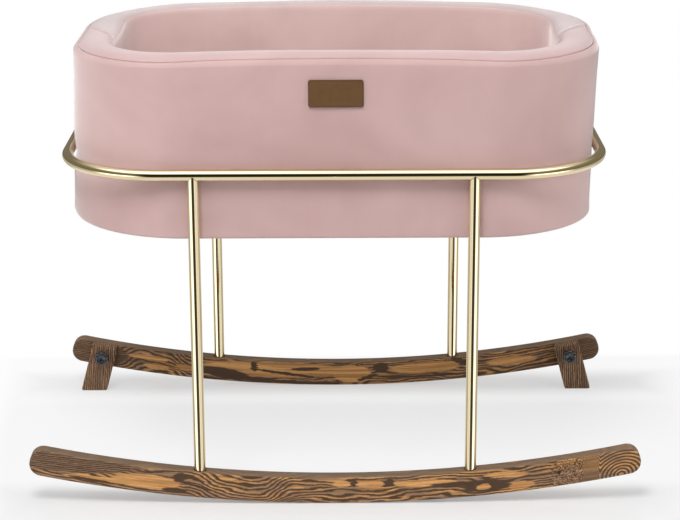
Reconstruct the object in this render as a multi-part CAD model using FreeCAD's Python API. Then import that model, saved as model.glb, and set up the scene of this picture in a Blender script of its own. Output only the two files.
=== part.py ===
import FreeCAD, Part
import math
import os

# A rocking cradle: a velvet basket hung in a tube rail, on four tube legs and two curved rockers.
# Millimetres. X runs along the cradle, Y from its front to its rear, Z up from the floor.
# The origin is on the floor under the middle of the basket.

os.makedirs("parts", exist_ok=True)
Vector = FreeCAD.Vector
UP = Vector(0, 0, 1)
REARWARD = Vector(0, 1, 0)
LEFT, RIGHT = -1, 1
FRONT, REAR = -1, 1

# Fits
seat_gap = 0.2
swing_gap = 0.3
thread_gap = 0.1
overrun = 2.0

# Rockers
rocker_length = 970.0
rocker_radius = 2296.0
rocker_height = 44.0
rocker_thickness = 24.0
rocker_end_radius = 20.0
rocker_edge = 2.0
rocker_track = 542.0

# Tube frame
tube_diameter = 18.0
tube_wall = 1.5
leg_spread = 431.0
leg_socket_depth = 20.0
leg_socket_gap = 0.3
leg_cope_rise = 5.0
rail_height = 538.0
rail_length = 850.0
rail_corner = 158.0

# Leg fasteners
leg_thread = 8.0
leg_plug_length = 20.0
leg_stud_length = 26.0
leg_bolt_length = 30.0
leg_bolt_head = 13.0
leg_bolt_head_height = 8.0
leg_bolt_socket = 6.0
leg_recess_width = 17.0
leg_recess_depth = 12.5

# Basket
basket_corner = 186.0
basket_drop = 104.0
basket_rise = 184.0
rim_width = 50.0
rim_proud = 0.5
rim_crown_radius = 44.0
rim_camber_radius = 4500.0
rim_depth = 30.0
outer_seam_place = 5.4
inner_seam_place = 3.2
cross_seam_place = 45.0
cover_thickness = 2.0
hem_width = 26.0
base_edge = 1.5
base_thickness = 12.0
base_cloth_thickness = 1.0
base_cloth_margin = 10.0
wall_thickness = 9.0

# Basket bolts
basket_bolt_spread = 300.0
basket_thread = 6.0
basket_bolt_length = 22.0
basket_bolt_head = 14.0
basket_bolt_head_height = 4.0
basket_bolt_socket = 4.0
basket_insert_diameter = 9.0
basket_insert_length = 12.0
basket_pocket_width = 20.0
basket_pocket_depth = 7.0

# Mattress
mattress_thickness = 50.0
mattress_gap = 3.0
mattress_crown = 6.0
mattress_edge = 12.0
mattress_crown_reach = 90.0
mattress_waist = 4.0

# Patch
patch_length = 84.0
patch_height = 42.0
patch_thickness = 1.6
patch_corner = 2.5
patch_drop = 59.5

# Stops
stop_inset = 57.0
stop_above_middle = 4.0
stop_width = 45.0
stop_thickness = 24.0
stop_rake = 15.0
stop_corner = 3.0
stop_edge = 1.5
stop_washer_width = 17.0
stop_washer_thickness = 1.5
stop_thread = 8.0
stop_bush_diameter = 12.0
stop_bush_length = 18.0
stop_stud_reach = 15.0

# Knobs
knob_diameter = 25.0
knob_lobes = 6
knob_lobe_radius = 3.6
knob_depth = 12.0
knob_edge = 1.2
knob_collar_diameter = 14.0
knob_collar_depth = 3.0
knob_recess_diameter = 10.0
knob_recess_depth = 3.0
knob_stud_hold = 9.0


# Shared shapes

def save(name, *solids):
    shape = solids[0] if len(solids) == 1 else Part.makeCompound(list(solids))
    shape.exportStep("parts/" + name + ".step")
    volume = sum(solid.Volume for solid in shape.Solids)
    print(name, len(shape.Solids), "solid", "valid" if shape.isValid() else "NOT VALID", round(volume))


def rod(diameter, length, foot, direction=UP):
    return Part.makeCylinder(diameter / 2, length, foot, direction)


def tube(outer, inner, length, foot, direction=UP):
    return rod(outer, length, foot, direction).cut(rod(inner, length, foot, direction))


def outline_wire(start, steps, place):
    """A closed wire from a start point and steps of one point (a line) or two (an arc)."""
    edges = []
    here = start
    for step in steps + [(start,)]:
        there = step[-1]
        if math.dist(here, there) < seat_gap / 100:
            continue
        if len(step) == 2:
            edges.append(Part.Arc(place(here), place(step[0]), place(there)).toShape())
        else:
            edges.append(Part.LineSegment(place(here), place(there)).toShape())
        here = there
    return Part.Wire(edges)


def around(centre, radius, degrees):
    angle = math.radians(degrees)
    return (centre[0] + radius * math.cos(angle), centre[1] + radius * math.sin(angle))


# Rockers: two boards sawn on a long arc, with rounded ends and eased edges.
# Each has two sockets for its legs, and a recess under each for the bolt.

rocker_centre = (0, rocker_radius)
rocker_top_radius = rocker_radius - rocker_height


def rocker_under(x):
    return rocker_radius - math.sqrt(rocker_radius ** 2 - x ** 2)


def rocker_over(x):
    return rocker_radius - math.sqrt(rocker_top_radius ** 2 - x ** 2)


def end_arc(radius_to_centre, end_angle, first_turn):
    """The rounded corner of a rocker's end: tangent points and middle, at the right-hand end."""
    lean = math.degrees(math.asin(rocker_end_radius / radius_to_centre))
    centre = around(rocker_centre, radius_to_centre, -90 + end_angle - lean)
    middle_turn = (first_turn - lean + end_angle + end_angle) / 2
    return [around(centre, rocker_end_radius, turn)
            for turn in (first_turn + end_angle - lean, middle_turn, end_angle)]


def rocker_blank(side):
    low_centre = rocker_radius - rocker_end_radius
    high_centre = rocker_top_radius + rocker_end_radius
    reach = (rocker_length / 2 - rocker_end_radius) / low_centre
    end_angle = math.degrees(math.asin(reach) + math.asin(rocker_end_radius / low_centre))
    low = end_arc(low_centre, end_angle, -90)
    high = end_arc(high_centre, end_angle, 90)

    def mirror(point):
        return (-point[0], point[1])

    face_y = side * rocker_track / 2 - rocker_thickness / 2
    wire = outline_wire(
        mirror(low[0]),
        [((0, 0), low[0]), (low[1], low[2]), (high[2],), (high[1], high[0]),
         ((0, rocker_height), mirror(high[0])), (mirror(high[1]), mirror(high[2])),
         (mirror(low[2]),), (mirror(low[1]), mirror(low[0]))],
        lambda point: Vector(point[0], face_y, point[1]))
    board = Part.Face(wire).extrude(REARWARD * rocker_thickness)
    rims = [edge for edge in board.Edges if edge.BoundBox.YLength < overrun]
    return board.makeChamfer(rocker_edge, rims)


leg_x = leg_spread / 2
leg_y = rocker_track / 2
socket_floor = rocker_over(leg_x) - leg_socket_depth
recess_roof = rocker_under(leg_x) + leg_recess_depth
leg_places = [(name, side, Vector(hand * leg_x, side * leg_y, 0))
              for side, end in ((FRONT, "front"), (REAR, "rear"))
              for hand, name in ((LEFT, end + "_left"), (RIGHT, end + "_right"))]
rocker_inner_face = rocker_track / 2 - rocker_thickness / 2


stop_place = rocker_length / 2 - stop_inset


def pivot(hand):
    """Where a stop turns: on the rear rocker's inner face, a little above its middle line."""
    middle = rocker_radius - rocker_height / 2
    height = rocker_radius - math.sqrt(middle ** 2 - stop_place ** 2) + stop_above_middle
    return Vector(hand * stop_place, rocker_inner_face, height)


def rocker(side):
    board = rocker_blank(side)
    for name, row, foot in leg_places:
        if row == side:
            socket = rod(tube_diameter + 2 * leg_socket_gap, rocker_height, foot + UP * socket_floor)
            shank = rod(leg_thread + 2 * seat_gap, rocker_height, foot)
            recess = rod(leg_recess_width, recess_roof + overrun, foot - UP * overrun)
            board = board.cut(socket.fuse([shank, recess]))
    if side == REAR:
        for hand in (LEFT, RIGHT):
            board = board.cut(rod(stop_bush_diameter + 2 * seat_gap, stop_bush_length + seat_gap,
                                  pivot(hand), REARWARD))
    return board


save("rocker_front", rocker(FRONT))
save("rocker_rear", rocker(REAR))


# Rail: one closed ring of round tube that the basket hangs in.

def rail_ring(diameter):
    half_x = rail_length / 2
    half_y = rocker_track / 2
    straight_x = half_x - rail_corner
    straight_y = half_y - rail_corner
    pieces = []
    for hand in (LEFT, RIGHT):
        pieces.append(rod(diameter, 2 * straight_y,
                          Vector(hand * half_x, -straight_y, rail_height), REARWARD))
        pieces.append(rod(diameter, 2 * straight_x,
                          Vector(-straight_x, hand * half_y, rail_height), Vector(1, 0, 0)))
    for corner in range(4):
        turn = Part.makeTorus(rail_corner, diameter / 2, Vector(0, 0, 0), UP, -180, 180, 90)
        turn.rotate(Vector(0, 0, 0), UP, 90 * corner)
        hand = RIGHT if corner in (0, 3) else LEFT
        row = REAR if corner in (0, 1) else FRONT
        turn.translate(Vector(hand * straight_x, row * straight_y, rail_height))
        pieces.append(turn)
    return pieces[0].fuse(pieces[1:]).removeSplitter()


rail_inner_face = rocker_track / 2 - tube_diameter / 2


def basket_bolt_places(y):
    """Points on the front and rear walls, at rail height, with the way out of the basket."""
    return [(Vector(hand * basket_bolt_spread / 2, side * y, rail_height), REARWARD * side)
            for side in (FRONT, REAR) for hand in (LEFT, RIGHT)]


def rail():
    ring = rail_ring(tube_diameter).cut(rail_ring(tube_diameter - 2 * tube_wall))
    for place, outward in basket_bolt_places(rail_inner_face - overrun):
        ring = ring.cut(rod(basket_insert_diameter + 2 * seat_gap, tube_diameter / 2, place, outward))
    return ring


save("rail", rail())


# Legs: four tubes, coped to the underside of the rail and let into the rockers.
# A threaded plug is welded in each end.

rail_underside = rail_height - tube_diameter / 2


def rail_clearance(place):
    """The straight of the rail over a leg, grown by the fitting gap."""
    start = Vector(place.x - tube_diameter, place.y, rail_height)
    return rod(tube_diameter + 2 * seat_gap, 2 * tube_diameter, start, Vector(1, 0, 0))


for name, side, foot in leg_places:
    length = rail_underside + leg_cope_rise - socket_floor
    leg = tube(tube_diameter, tube_diameter - 2 * tube_wall, length, foot + UP * socket_floor)
    save("leg_" + name, leg.cut(rail_clearance(foot)))

plug_diameter = tube_diameter - 2 * tube_wall - thread_gap
top_plug_foot = rail_underside - overrun - leg_plug_length
save("leg_bottom_plugs",
     *[tube(plug_diameter, leg_thread + thread_gap, leg_plug_length, foot + UP * socket_floor)
       for name, side, foot in leg_places])
save("leg_top_plugs",
     *[tube(plug_diameter, leg_thread + thread_gap, leg_plug_length, foot + UP * top_plug_foot)
       for name, side, foot in leg_places])
save("rail_studs",
     *[rod(leg_thread, leg_stud_length + leg_cope_rise,
           foot + UP * (rail_underside - leg_stud_length)).cut(rail_clearance(foot))
       for name, side, foot in leg_places])


# Leg bolts: cap screws in the recesses under the rockers.

def cap_screw(thread, length, head, head_height, key_width, seat, direction):
    """A screw whose head sits below its seat and whose shank runs along the direction."""
    key = Part.makePolygon([seat - direction * head_height + across
                            for across in hexagon(key_width, direction)])
    key = Part.Face(key).extrude(direction * (head_height / 2))
    top = rod(head, head_height, seat - direction * head_height, direction)
    return top.fuse(rod(thread, length, seat, direction)).cut(key).removeSplitter()


def hexagon(width, direction):
    side = Vector(1, 0, 0)
    up = direction.cross(side)
    corner = width / math.sqrt(3)
    turns = [math.radians(60 * step) for step in range(7)]
    return [side * (corner * math.cos(turn)) + up * (corner * math.sin(turn)) for turn in turns]


save("leg_bolts",
     *[cap_screw(leg_thread, leg_bolt_length, leg_bolt_head, leg_bolt_head_height, leg_bolt_socket,
                 foot + UP * recess_roof, UP)
       for name, side, foot in leg_places])


# Basket plan: a rounded rectangle that touches the rail along its sides and ends.

basket_width = 2 * (rail_inner_face - swing_gap)
basket_length = basket_width + rail_length - rocker_track
basket_floor = rail_height - basket_drop
basket_top = rail_height + basket_rise


def plan_face(inset, height):
    """The basket's plan, drawn in by an inset, as a face at a height."""
    half_x = basket_length / 2 - inset
    half_y = basket_width / 2 - inset
    corner = basket_corner - inset
    diagonal = corner * (1 - math.sqrt(0.5))
    straight_x = half_x - corner
    straight_y = half_y - corner
    wire = outline_wire(
        (straight_x, -half_y),
        [((half_x - diagonal, -half_y + diagonal), (half_x, -straight_y)),
         ((half_x, straight_y),),
         ((half_x - diagonal, half_y - diagonal), (straight_x, half_y)),
         ((-straight_x, half_y),),
         ((-half_x + diagonal, half_y - diagonal), (-half_x, straight_y)),
         ((-half_x, -straight_y),),
         ((-half_x + diagonal, -half_y + diagonal), (-straight_x, -half_y)),
         ((straight_x, -half_y),)],
        lambda point: Vector(point[0], point[1], height))
    return Part.Face(wire)


def slab(inset, low, high):
    return plan_face(inset, low).extrude(UP * (high - low))


# Rim section: a crown between the two seams, and a shoulder below each seam, as tangent arcs.
# Across is the distance in from the wall's outer face, and height is up from where the shoulders
# start. The padded rim stands a little proud of the wall on both sides.

half_rim = rim_width / 2


def shoulder_arc(seam_place):
    """A shoulder's radius and turn, from how far in from the wall its seam lies."""
    reach = half_rim - seam_place
    turn = 90 - math.degrees(math.asin(reach / rim_crown_radius))
    return (seam_place + rim_proud) / (1 - math.cos(math.radians(turn))), turn


outer_radius, outer_turn = shoulder_arc(outer_seam_place)
inner_radius, inner_turn = shoulder_arc(inner_seam_place)
outer_centre = (outer_radius - rim_proud, 0)
inner_base = ((rim_crown_radius - outer_radius) * math.sin(math.radians(outer_turn))
              - (rim_crown_radius - inner_radius) * math.sin(math.radians(inner_turn)))
inner_centre = (rim_width + rim_proud - inner_radius, -inner_base)
crown_centre = (half_rim, (outer_radius - rim_crown_radius) * math.sin(math.radians(outer_turn)))
shoulder_rise = crown_centre[1] + rim_crown_radius
wall_line = basket_top - shoulder_rise
roll_base = shoulder_rise - rim_depth


def rim_outer(inset, degrees):
    """A point on the outer shoulder, at an angle up from its level side."""
    return around(outer_centre, outer_radius - inset, 180 - degrees)


def rim_inner(inset, degrees):
    return around(inner_centre, inner_radius - inset, degrees)


def rim_crown(inset):
    return around(crown_centre, rim_crown_radius - inset, 90)


# Rim path: the long sides rise over a long arc, and each end leans out on the arc's tangent.

half_y = basket_width / 2
straight_x = basket_length / 2 - basket_corner
straight_y = half_y - basket_corner
camber_turn = math.degrees(math.asin(straight_x / rim_camber_radius))
camber_middle = Vector(0, 0, wall_line - rim_camber_radius)
lean_room = (rim_depth - shoulder_rise) * math.sin(math.radians(camber_turn))


def section_face(section, place):
    return Part.Face(outline_wire(section[0], section[1], place))


def long_side(section, side):
    face = section_face(section, lambda node: Vector(0, side * (half_y - node[0]), wall_line + node[1]))
    face.rotate(camber_middle, REARWARD, -camber_turn)
    return face.revolve(camber_middle, REARWARD, 2 * camber_turn)


def corner_turn(section, side, hand):
    face = section_face(section, lambda node: Vector(0, side * (half_y - node[0]), wall_line + node[1]))
    turn = face.revolve(Vector(0, side * straight_y, 0), UP * (-side * hand), 90)
    turn.rotate(camber_middle, REARWARD, hand * camber_turn)
    return turn


def end_run(section, hand, low_y, high_y):
    face = section_face(section, lambda node: Vector(hand * (basket_corner - node[0]), low_y,
                                                     wall_line + node[1]))
    run = face.extrude(REARWARD * (high_y - low_y))
    run.rotate(camber_middle, REARWARD, hand * camber_turn)
    return run


def half_loop(section, side, seam_y):
    """A section carried round one side of the basket, from one cross seam to the other."""
    low_y, high_y = sorted((side * straight_y, seam_y))
    pieces = [long_side(section, side)]
    for hand in (LEFT, RIGHT):
        pieces.append(corner_turn(section, side, hand))
        pieces.append(end_run(section, hand, low_y, high_y))
    return pieces


def whole_loop(section):
    pieces = half_loop(section, FRONT, 0) + half_loop(section, REAR, 0)
    return pieces[0].fuse(pieces[1:]).removeSplitter()


def trim_above(shape, height):
    """Cut a wall off along the camber, at a height from where the shoulders start."""
    level = wall_line + height
    reach = basket_length / 2
    tall = basket_top - basket_floor
    corners = [Vector(0, y, z) for y, z in ((-half_y - overrun, level), (half_y + overrun, level),
                                            (half_y + overrun, level + tall),
                                            (-half_y - overrun, level + tall),
                                            (-half_y - overrun, level))]
    middle = Part.Face(Part.makePolygon(corners))
    middle.rotate(camber_middle, REARWARD, -camber_turn)
    cutters = [middle.revolve(camber_middle, REARWARD, 2 * camber_turn)]
    for hand in (LEFT, RIGHT):
        block = Part.makeBox(reach, 2 * (half_y + overrun), tall,
                             Vector(min(0, hand * reach), -half_y - overrun, level))
        block.rotate(camber_middle, REARWARD, hand * camber_turn)
        cutters.append(block)
    return shape.cut(cutters)


# Basket structure: a base board with a bent band glued on it.

base_low = basket_floor + cover_thickness
base_high = base_low + base_thickness
wall_inset = cover_thickness + seat_gap


def eased_slab(inset, low, edge):
    """A slab up to the basket's top, with its lower edge bevelled."""
    block = slab(inset, low, basket_top)
    rim = [line for line in block.Edges if line.BoundBox.ZMax < low + edge / 2]
    return block.makeChamfer(edge, rim)


base = eased_slab(wall_inset, base_low, base_edge).cut(slab(0, base_high, basket_top + overrun))
save("base_board", base)

band = slab(wall_inset, base_high, basket_top).cut(
    slab(wall_inset + wall_thickness, base_high, basket_top))
band_face = half_y - wall_inset - wall_thickness
bolt_holes = [rod(basket_thread + 2 * seat_gap, wall_thickness + 2 * overrun, place, outward)
              for place, outward in basket_bolt_places(band_face - overrun)]
save("basket_wall", trim_above(band, roll_base).cut(bolt_holes))


# Padding: a foam layer inside the band, and a bevelled foam strip along its top.

foam_inset = cover_thickness + seat_gap
pad_inset = wall_inset + wall_thickness + seat_gap
pad_foot = base_high + cover_thickness + seat_gap
padding = slab(pad_inset, pad_foot, basket_top).cut(
    slab(rim_width - foam_inset, pad_foot, basket_top))
pockets = [rod(basket_pocket_width, basket_pocket_depth + overrun, place, -outward)
           for place, outward in basket_bolt_places(half_y - pad_inset + overrun)]
save("wall_padding", trim_above(padding, roll_base).cut(pockets))

roll_foot = roll_base + seat_gap
roll_inset = foam_inset + rim_proud
roll_section = ((foam_inset, roll_foot),
                [(rim_outer(roll_inset, 0),),
                 (rim_outer(roll_inset, outer_turn),),
                 (rim_crown(roll_inset),),
                 (rim_inner(roll_inset, inner_turn),),
                 (rim_inner(roll_inset, 0),),
                 ((rim_width - foam_inset - lean_room, roll_foot),)])
save("rim_padding", whole_loop(roll_section))


# Covers: an outer cover and a lining with turned hems, and a rim cover in two lengths.

def shoulder_section(shoulder, foot, turn):
    """The strip of a cover over its shoulder, from the level of the wall line to the seam."""
    return ((foot[0], 0),
            [(shoulder(0, 0),),
             (shoulder(0, turn / 2), shoulder(0, turn)),
             (shoulder(cover_thickness, turn),),
             (shoulder(cover_thickness, turn / 2), shoulder(cover_thickness, 0)),
             ((foot[1], 0),)])


def outer_cover():
    """A sleeve round the basket, hemmed under the board and turned over the outer shoulder."""
    outer_bevel = base_edge + cover_thickness * math.tan(math.radians(22.5))
    sleeve = eased_slab(0, basket_floor, outer_bevel)
    sleeve = sleeve.cut(eased_slab(cover_thickness, base_low, base_edge))
    sleeve = sleeve.cut(slab(hem_width, basket_floor - overrun, base_low + overrun))
    holes = [rod(basket_thread + 2 * seat_gap, cover_thickness + 2 * overrun, place, outward)
             for place, outward in basket_bolt_places(half_y - cover_thickness - overrun)]
    shoulder = whole_loop(shoulder_section(rim_outer, (-rim_proud, cover_thickness - rim_proud),
                                           outer_turn))
    return trim_above(sleeve, 0).cut(holes).fuse(shoulder).removeSplitter()


def lining():
    """The inner skin, with its hem turned in under the mattress and its top over the foam."""
    hem_top = base_high + cover_thickness
    sleeve = slab(rim_width - cover_thickness, base_high, basket_top)
    sleeve = sleeve.cut(slab(rim_width, hem_top, basket_top))
    sleeve = sleeve.cut(slab(rim_width + hem_width, base_high - overrun, hem_top + overrun))
    face = rim_width + rim_proud
    shoulder = whole_loop(shoulder_section(rim_inner, (face, face - cover_thickness), inner_turn))
    return trim_above(sleeve, 0).fuse(shoulder).removeSplitter()


seam_slip = math.degrees(seat_gap / rim_crown_radius)


def rim_cover(side, seam_y):
    """The strip over the crown, from the outer seam to the inner one."""
    first = 180 - outer_turn - seam_slip
    last = inner_turn + seam_slip

    def crown(inset, degrees):
        return around(crown_centre, rim_crown_radius - inset, degrees)

    section = (crown(0, first),
               [(crown(0, 90), crown(0, last)),
                (crown(cover_thickness, last),),
                (crown(cover_thickness, 90), crown(cover_thickness, first))])
    pieces = half_loop(section, side, seam_y)
    return pieces[0].fuse(pieces[1:]).removeSplitter()


save("outer_cover", outer_cover())
save("lining", lining())
save("rim_cover_front", rim_cover(FRONT, cross_seam_place - seat_gap / 2))
save("rim_cover_rear", rim_cover(REAR, cross_seam_place + seat_gap / 2))
save("base_cloth", slab(base_cloth_margin, basket_floor - base_cloth_thickness, basket_floor))


# Mattress: a thin crowned pad, drawn in a little between its corners, inside the lining.

def mattress_wire(inset, height):
    half_x = basket_length / 2 - rim_width - mattress_gap - inset
    half_y = basket_width / 2 - rim_width - mattress_gap - inset
    corner = basket_corner - rim_width - mattress_gap - inset
    diagonal = corner * (1 - math.sqrt(0.5))
    end_x = half_x - corner
    end_y = half_y - corner
    return outline_wire(
        (end_x, -half_y),
        [((half_x - diagonal, -half_y + diagonal), (half_x, -end_y)),
         ((half_x - mattress_waist, 0), (half_x, end_y)),
         ((half_x - diagonal, half_y - diagonal), (end_x, half_y)),
         ((0, half_y - mattress_waist), (-end_x, half_y)),
         ((-half_x + diagonal, half_y - diagonal), (-half_x, end_y)),
         ((-half_x + mattress_waist, 0), (-half_x, -end_y)),
         ((-half_x + diagonal, -half_y + diagonal), (-end_x, -half_y)),
         ((0, -half_y + mattress_waist), (end_x, -half_y))],
        lambda point: Vector(point[0], point[1], height))


mattress_low = base_high + cover_thickness + seat_gap
round_turns = [math.radians(turn) for turn in (0, 30, 60, 90)]
rounding = [(mattress_edge * (1 - math.sin(turn)), mattress_edge * (1 - math.cos(turn)))
            for turn in round_turns]
crown_steps = [step / 4 for step in range(1, 5)]
mattress_layers = (
    rounding
    + [(inset, mattress_thickness - height) for inset, height in reversed(rounding)]
    + [(mattress_edge + mattress_crown_reach * step,
        mattress_thickness + mattress_crown * (1 - (1 - step) ** 2)) for step in crown_steps])
save("mattress", Part.makeLoft([mattress_wire(inset, mattress_low + height)
                                for inset, height in mattress_layers], True, True))


# Patch: a small stitched-on leather panel on the front wall, left bare.

def patch():
    half_x = patch_length / 2
    half_z = patch_height / 2
    panel = Part.makeBox(patch_length, patch_thickness, patch_height,
                         Vector(-half_x, -basket_width / 2 - seat_gap - patch_thickness,
                                basket_top - patch_drop - half_z))
    corners = [edge for edge in panel.Edges if edge.BoundBox.YLength > patch_thickness / 2]
    return panel.makeFillet(patch_corner, corners)


save("patch", patch())


# Basket bolts: wide-headed bolts inside the band, into threaded inserts in the rail.

save("basket_bolts",
     *[cap_screw(basket_thread, basket_bolt_length, basket_bolt_head, basket_bolt_head_height,
                 basket_bolt_socket, place, outward)
       for place, outward in basket_bolt_places(band_face)])
save("rail_inserts",
     *[tube(basket_insert_diameter, basket_thread + thread_gap, basket_insert_length, place,
            outward)
       for place, outward in basket_bolt_places(rail_inner_face)])


# Stops: raked wooden legs on the rear rocker's inner face, clamped by knobs.

stop_back = rocker_inner_face - swing_gap
stop_front = stop_back - stop_thickness


def stop_shape(hand):
    """A raked bar with a level foot, its top sawn along the rocker's top."""
    axis = pivot(hand)
    rake = math.radians(stop_rake)
    half_foot = stop_width / 2 / math.cos(rake)
    foot_middle = stop_place + axis.z * math.tan(rake)

    def side_x(offset, height):
        return foot_middle + offset - height * math.tan(rake)

    inner_top = rocker_over(side_x(-half_foot, rocker_over(stop_place)))
    outer_top = rocker_over(side_x(half_foot, rocker_over(stop_place)))
    corners = [(side_x(-half_foot, 0), 0), (side_x(half_foot, 0), 0),
               (side_x(half_foot, outer_top), outer_top), (side_x(-half_foot, inner_top), inner_top)]
    wire = Part.makePolygon([Vector(hand * x, stop_front, z) for x, z in corners + corners[:1]])
    bar = Part.Face(wire).extrude(REARWARD * stop_thickness)
    posts = [edge for edge in bar.Edges if edge.BoundBox.YLength > stop_thickness / 2]
    bar = bar.makeFillet(stop_corner, posts)
    rims = [edge for edge in bar.Edges if edge.BoundBox.YLength < overrun]
    bar = bar.makeChamfer(stop_edge, rims)
    hole = rod(stop_thread + 2 * thread_gap, 2 * stop_thickness, axis - REARWARD * 2 * stop_thickness,
               REARWARD)
    return bar.cut(hole)


# Knobs: moulded star knobs with a sunk middle, each on its own steel stud.

washer_front = stop_front - seat_gap - stop_washer_thickness
knob_back = washer_front


def knob(hand):
    axis = pivot(hand)
    centre = Vector(axis.x, knob_back - knob_collar_depth, axis.z)
    ring_radius = knob_diameter / 2 - knob_lobe_radius
    body = rod(2 * ring_radius, knob_depth, centre, -REARWARD)
    for lobe in range(knob_lobes):
        x, z = around((0, 0), ring_radius, 360 * lobe / knob_lobes)
        body = body.fuse(rod(2 * knob_lobe_radius, knob_depth, centre + Vector(x, 0, z), -REARWARD))
    bevel = Part.makeCone(knob_diameter / 2 + knob_depth, knob_diameter / 2 - knob_edge,
                          knob_depth + knob_edge, centre, -REARWARD)
    body = body.removeSplitter().common(bevel)
    recess = rod(knob_recess_diameter, knob_recess_depth + overrun,
                 centre - REARWARD * (knob_depth - knob_recess_depth), -REARWARD)
    collar = rod(knob_collar_diameter, knob_collar_depth, centre, REARWARD)
    bore = rod(stop_thread + thread_gap, knob_stud_hold, Vector(axis.x, knob_back, axis.z), -REARWARD)
    return body.fuse(collar).cut(recess).cut(bore)


def knob_stud(hand):
    axis = pivot(hand)
    start = knob_back - knob_stud_hold
    return rod(stop_thread, rocker_inner_face + stop_stud_reach - start,
               Vector(axis.x, start, axis.z), REARWARD)


for hand, name in ((LEFT, "left"), (RIGHT, "right")):
    save("stop_" + name, stop_shape(hand))
    save("knob_" + name, knob(hand))
    save("knob_stud_" + name, knob_stud(hand))

save("stop_washers",
     *[tube(stop_washer_width, stop_thread + 2 * thread_gap, stop_washer_thickness,
            Vector(pivot(hand).x, washer_front, pivot(hand).z), REARWARD)
       for hand in (LEFT, RIGHT)])
save("stop_bushes",
     *[tube(stop_bush_diameter, stop_thread + 2 * thread_gap, stop_bush_length, pivot(hand),
            REARWARD)
       for hand in (LEFT, RIGHT)])
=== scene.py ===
import bmesh
import bpy
import math
import numpy as np
from mathutils import Matrix


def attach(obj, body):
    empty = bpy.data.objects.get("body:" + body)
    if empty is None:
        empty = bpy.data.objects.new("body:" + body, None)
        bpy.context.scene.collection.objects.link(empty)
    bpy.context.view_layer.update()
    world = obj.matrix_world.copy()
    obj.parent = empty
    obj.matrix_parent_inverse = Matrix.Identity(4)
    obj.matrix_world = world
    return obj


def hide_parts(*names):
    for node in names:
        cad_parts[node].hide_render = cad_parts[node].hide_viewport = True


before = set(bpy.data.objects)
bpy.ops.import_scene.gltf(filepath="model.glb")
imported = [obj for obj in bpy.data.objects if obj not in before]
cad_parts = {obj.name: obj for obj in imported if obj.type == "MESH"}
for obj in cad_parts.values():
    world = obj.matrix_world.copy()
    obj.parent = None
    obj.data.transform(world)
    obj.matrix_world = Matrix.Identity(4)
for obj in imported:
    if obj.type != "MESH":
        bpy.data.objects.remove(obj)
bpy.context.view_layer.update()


# Rockers: two boards of dark striped hardwood, sawn on a long arc, with rounded ends and eased edges.
# Each has two sockets bored in its upper edge for the legs. Oiled, with a dull sheen.

ARC_RADIUS = 2.296
BOARD_HEIGHT = 0.044
BOARD_THICKNESS = 0.024
BOARD_LENGTH = 0.97
BOARD_END_RADIUS = 0.02
BOARD_EDGE = 0.0026
BOARD_STEPS = 60
FRONT_Y = -0.271
REAR_Y = 0.271
LEG_X = 0.2155
SOCKET_RADIUS = 0.0101
SOCKET_DEPTH = 0.0195
DRILL_TOP = 0.075
MIDDLE_RADIUS = ARC_RADIUS - BOARD_HEIGHT / 2


class Value:
    """A shader socket that arithmetic works on: each operator adds a Math node and gives its output."""

    def __init__(self, finish, socket):
        self.finish = finish
        self.socket = socket

    def maths(self, operation, *others):
        return self.finish.node("Math", {"operation": operation}, dict(enumerate((self, *others))))

    def __add__(self, other):
        return self.maths("ADD", other)

    def __sub__(self, other):
        return self.maths("SUBTRACT", other)

    def __mul__(self, other):
        return self.maths("MULTIPLY", other)

    def __truediv__(self, other):
        return self.maths("DIVIDE", other)

    def __rsub__(self, other):
        return self.finish.node("Math", {"operation": "SUBTRACT"}, {0: other, 1: self})

    def __neg__(self):
        return self * -1

    def __abs__(self):
        return self.maths("ABSOLUTE")

    __radd__ = __add__

    def step(self, start, end):
        """0 before start, 1 after end, and a smooth rise between."""
        return self.finish.node("MapRange", {"interpolation_type": "SMOOTHSTEP"},
                                {"Value": self, "From Min": start, "From Max": end})


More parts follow.
